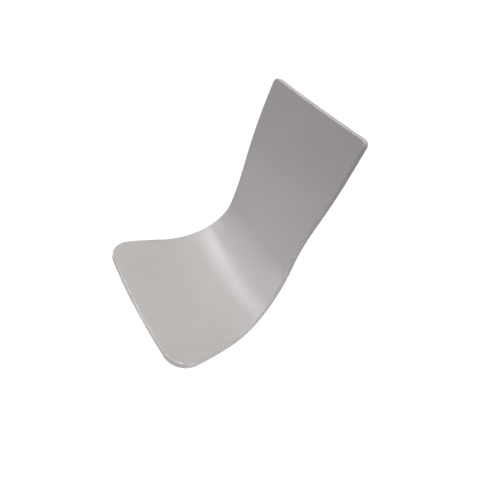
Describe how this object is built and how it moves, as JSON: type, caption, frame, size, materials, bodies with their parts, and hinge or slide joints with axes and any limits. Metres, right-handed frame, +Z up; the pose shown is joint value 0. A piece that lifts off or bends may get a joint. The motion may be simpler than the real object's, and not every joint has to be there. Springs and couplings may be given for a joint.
{
  "type": "moulded chair shell",
  "caption": "One-piece pressed seat-and-back shell with a flat seat, a round bend, a waist and a tall back, light grey satin.",
  "frame": {"origin": "flat underside of the seat, on the centre line, in the middle of the four tee nuts", "axes": "+X across the shell, +Y to the back, +Z up out of the seat; the sitter faces -Y"},
  "size_m": [0.3892, 0.3309, 0.488],
  "materials": {
    "laminate": "satin light grey laminate with a very fine pearl texture",
    "edge_coat": "satin light grey sprayed coat",
    "veneer_along": "sanded beech veneer, grain from front to top",
    "veneer_across": "sanded beech veneer, grain across the shell",
    "tee_nut": "bright zinc plate"
  },
  "bodies": {
    "root": {"face_laminate": "laminate", "rear_laminate": "laminate", "edge_coat": "edge_coat", "veneer_01": "veneer_along", "veneer_02": "veneer_across", "veneer_03": "veneer_along", "veneer_04": "veneer_across", "veneer_05": "veneer_along", "veneer_06": "veneer_across", "veneer_07": "veneer_along", "veneer_08": "veneer_across", "veneer_09": "veneer_along", "tee_nut_front_left": "tee_nut", "tee_nut_front_right": "tee_nut", "tee_nut_rear_left": "tee_nut", "tee_nut_rear_right": "tee_nut"}
  },
  "joints": []
}
